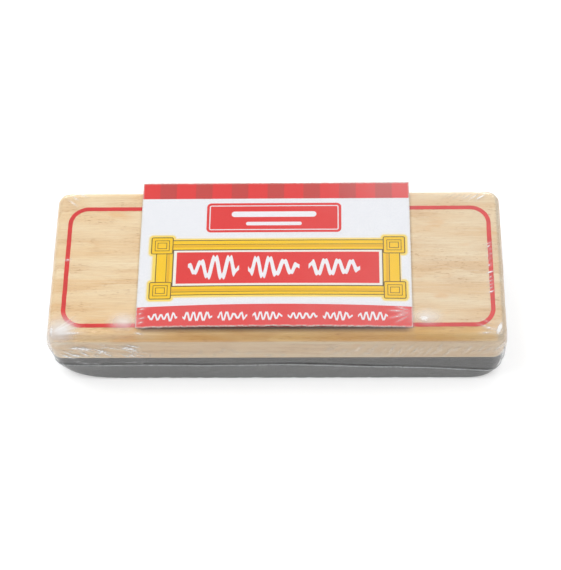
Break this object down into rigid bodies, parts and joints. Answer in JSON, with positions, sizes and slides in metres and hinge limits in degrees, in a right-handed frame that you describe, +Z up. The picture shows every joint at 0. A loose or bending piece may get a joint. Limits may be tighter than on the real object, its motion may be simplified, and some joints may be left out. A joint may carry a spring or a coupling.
{
  "type": "chalkboard eraser",
  "caption": "Wood-backed felt chalkboard eraser in its shop wrap: pine block with a printed border line, glued felt pad, label card on top and clear shrink film round it all.",
  "frame": {"origin": "centre of the flat underside that the eraser rests on, below the middle of the felt pad", "axes": "+Z up out of the block's top, +X along the eraser's length, +Y towards the long edge that the label card stands past"},
  "size_m": [0.1528, 0.0615, 0.0312],
  "materials": {
    "pine": "planed and sanded, thin clear lacquer",
    "red_ink": "printed ink",
    "glue": "cured glue",
    "grey_felt": "dense pressed felt",
    "card": "coated printed card",
    "clear_film": "clear shrink film"
  },
  "bodies": {
    "root": {"wood_block": "pine", "border_print": "red_ink", "adhesive_layer": "glue", "felt_pad": "grey_felt", "label_card": "card", "shrink_film": "clear_film"}
  },
  "joints": []
}
